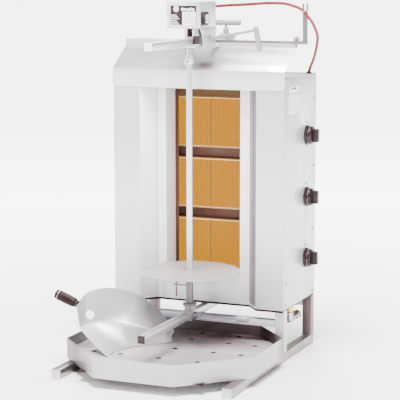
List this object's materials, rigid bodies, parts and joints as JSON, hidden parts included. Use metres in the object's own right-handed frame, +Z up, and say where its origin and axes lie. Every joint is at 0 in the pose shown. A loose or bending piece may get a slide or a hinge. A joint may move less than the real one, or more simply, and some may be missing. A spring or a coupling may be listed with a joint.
{
  "type": "rotisserie oven",
  "caption": "Free-standing vertical gas grill with stacked burners, motor-driven spit and meat plate, sliding arms, octagonal drip tray and carving shovel.",
  "frame": {"origin": "on the ground under the middle of the bounding box", "axes": "+Z up, the open cooking side faces -Y, the gas taps are on +X"},
  "size_m": [0.6893, 0.744, 1.057],
  "materials": {
    "tube_steel": "satin",
    "sheet_steel": "brushed",
    "bright_steel": "polished",
    "screw_steel": "zinc plated",
    "grip_grey": "satin",
    "dark_plastic": "semi-gloss",
    "burner_steel": "heat stained",
    "burner_glow": "glowing mesh over tile",
    "brass": "satin",
    "nickel": "satin",
    "motor_paint": "cast",
    "label_film": "printed film",
    "cable_rubber": "silicone jacket"
  },
  "bodies": {
    "frame": {"skids": "tube_steel", "skid_end_plates": "bright_steel", "front_uprights": "tube_steel", "rear_uprights": "tube_steel", "cross_bars": "tube_steel", "lower_arm": "bright_steel", "upper_arm": "bright_steel", "arm_end_caps": "dark_plastic", "arm_post": "bright_steel", "left_side_panel": "sheet_steel", "right_side_panel": "sheet_steel", "back_panel": "sheet_steel", "top_panel": "sheet_steel", "bottom_panel": "sheet_steel", "front_panels": "sheet_steel", "wings": "sheet_steel", "lower_front_panel": "sheet_steel", "burner_chamber": "burner_steel", "hood": "sheet_steel", "panel_screws": "screw_steel", "side_label": "label_film", "burner_bodies": "burner_steel", "top_burner_screen": "burner_glow", "middle_burner_screen": "burner_glow", "bottom_burner_screen": "burner_glow", "gas_manifold": "brass", "gas_inlet": "brass", "gas_elbow": "nickel", "knob_bezels": "dark_plastic", "motor_cable": "cable_rubber"},
    "carriage": {"carriage_sleeve": "bright_steel", "carriage_plate": "sheet_steel", "motor_box": "sheet_steel", "gear_motor": "motor_paint", "motor_label": "label_film", "switch_bezel": "dark_plastic", "cable_bracket": "bright_steel", "cable_gland": "dark_plastic"},
    "drive": {"drive_coupling": "dark_plastic"},
    "rocker": {"rocker_switch": "dark_plastic"},
    "side_clamp": {"side_clamp": "grip_grey"},
    "wing_nut": {"wing_nut": "screw_steel"},
    "slider": {"lower_slider": "bright_steel"},
    "lower_clamp": {"lower_clamp": "grip_grey"},
    "spit": {"spit_bar": "bright_steel", "spit_collar": "bright_steel", "meat_plate": "bright_steel", "spit_foot": "bright_steel"},
    "lock_pin": {"lock_pin": "bright_steel"},
    "top_clamp": {"top_clamp": "grip_grey"},
    "tray": {"drip_tray": "sheet_steel"},
    "insert": {"tray_insert": "sheet_steel"},
    "shovel": {"shovel_blade": "bright_steel", "shovel_handle": "dark_plastic"},
    "top_valve": {"top_spindle": "screw_steel"},
    "top_knob": {"top_knob": "dark_plastic"},
    "middle_valve": {"middle_spindle": "screw_steel"},
    "middle_knob": {"middle_knob": "dark_plastic"},
    "bottom_valve": {"bottom_spindle": "screw_steel"},
    "bottom_knob": {"bottom_knob": "dark_plastic"}
  },
  "joints": [
    {"name": "carriage_slide", "type": "slide", "parent": "frame", "child": "carriage", "axis": [0, -1, 0], "range_m": [0, 0.15], "deforming": ["motor_cable"]},
    {"name": "lower_slide", "type": "slide", "parent": "frame", "child": "slider", "axis": [0, -1, 0], "range_m": [0, 0.15]},
    {"name": "spit_spin", "type": "hinge", "parent": "slider", "child": "spit", "pos_m": [0, 0.028, 0.2], "axis": [0, 0, 1], "continuous": true},
    {"name": "drive_spin", "type": "hinge", "parent": "carriage", "child": "drive", "pos_m": [0, 0.028, 0.96], "axis": [0, 0, 1], "continuous": true},
    {"name": "lock_pin_slide", "type": "slide", "parent": "spit", "child": "lock_pin", "axis": [-1, 0, 0], "range_m": [0, 0.008]},
    {"name": "lower_clamp_turn", "type": "hinge", "parent": "slider", "child": "lower_clamp", "pos_m": [0.02, 0.028, 0.135], "axis": [1, 0, 0], "range_deg": [-180, 180]},
    {"name": "side_clamp_turn", "type": "hinge", "parent": "carriage", "child": "side_clamp", "pos_m": [0.058, 0.058, 0.952], "axis": [1, 0, 0], "range_deg": [-110, 0]},
    {"name": "wing_nut_turn", "type": "hinge", "parent": "carriage", "child": "wing_nut", "pos_m": [0.303, 0.1, 0.95], "axis": [0, 0, 1], "range_deg": [-180, 180]},
    {"name": "rocker_tilt", "type": "hinge", "parent": "carriage", "child": "rocker", "pos_m": [0.058, 0.0175, 1.008], "axis": [0, 1, 0], "range_deg": [-10, 10]},
    {"name": "top_clamp_turn", "type": "hinge", "parent": "frame", "child": "top_clamp", "pos_m": [0.027, 0.246, 0.98], "axis": [0, 0, 1], "range_deg": [-180, 180]},
    {"name": "top_valve_push", "type": "slide", "parent": "frame", "child": "top_valve", "axis": [-1, 0, 0], "range_m": [0, 0.004], "stiffness_N_per_m": 800},
    {"name": "top_knob_turn", "type": "hinge", "parent": "top_valve", "child": "top_knob", "pos_m": [0.29, 0.288, 0.655], "axis": [1, 0, 0], "range_deg": [-210, 0]},
    {"name": "middle_valve_push", "type": "slide", "parent": "frame", "child": "middle_valve", "axis": [-1, 0, 0], "range_m": [0, 0.004], "stiffness_N_per_m": 800},
    {"name": "middle_knob_turn", "type": "hinge", "parent": "middle_valve", "child": "middle_knob", "pos_m": [0.29, 0.288, 0.468], "axis": [1, 0, 0], "range_deg": [-210, 0]},
    {"name": "bottom_valve_push", "type": "slide", "parent": "frame", "child": "bottom_valve", "axis": [-1, 0, 0], "range_m": [0, 0.004], "stiffness_N_per_m": 800},
    {"name": "bottom_knob_turn", "type": "hinge", "parent": "bottom_valve", "child": "bottom_knob", "pos_m": [0.29, 0.288, 0.281], "axis": [1, 0, 0], "range_deg": [-210, 0]},
    {"name": "tray_pull", "type": "slide", "parent": "frame", "child": "tray", "axis": [0, -1, 0], "range_m": [0, 0.35]},
    {"name": "insert_lift", "type": "slide", "parent": "tray", "child": "insert", "axis": [0, 0, 1], "range_m": [0, 0.02]},
    {"name": "shovel_lift", "type": "slide", "parent": "insert", "child": "shovel", "axis": [-0.7071, 0, 0.7071], "range_m": [0, 0.35]}
  ],
  "couplings": [
    {"joint": "lower_slide", "follows": "carriage_slide", "ratio": 1},
    {"joint": "drive_spin", "follows": "spit_spin", "ratio": 1}
  ]
}
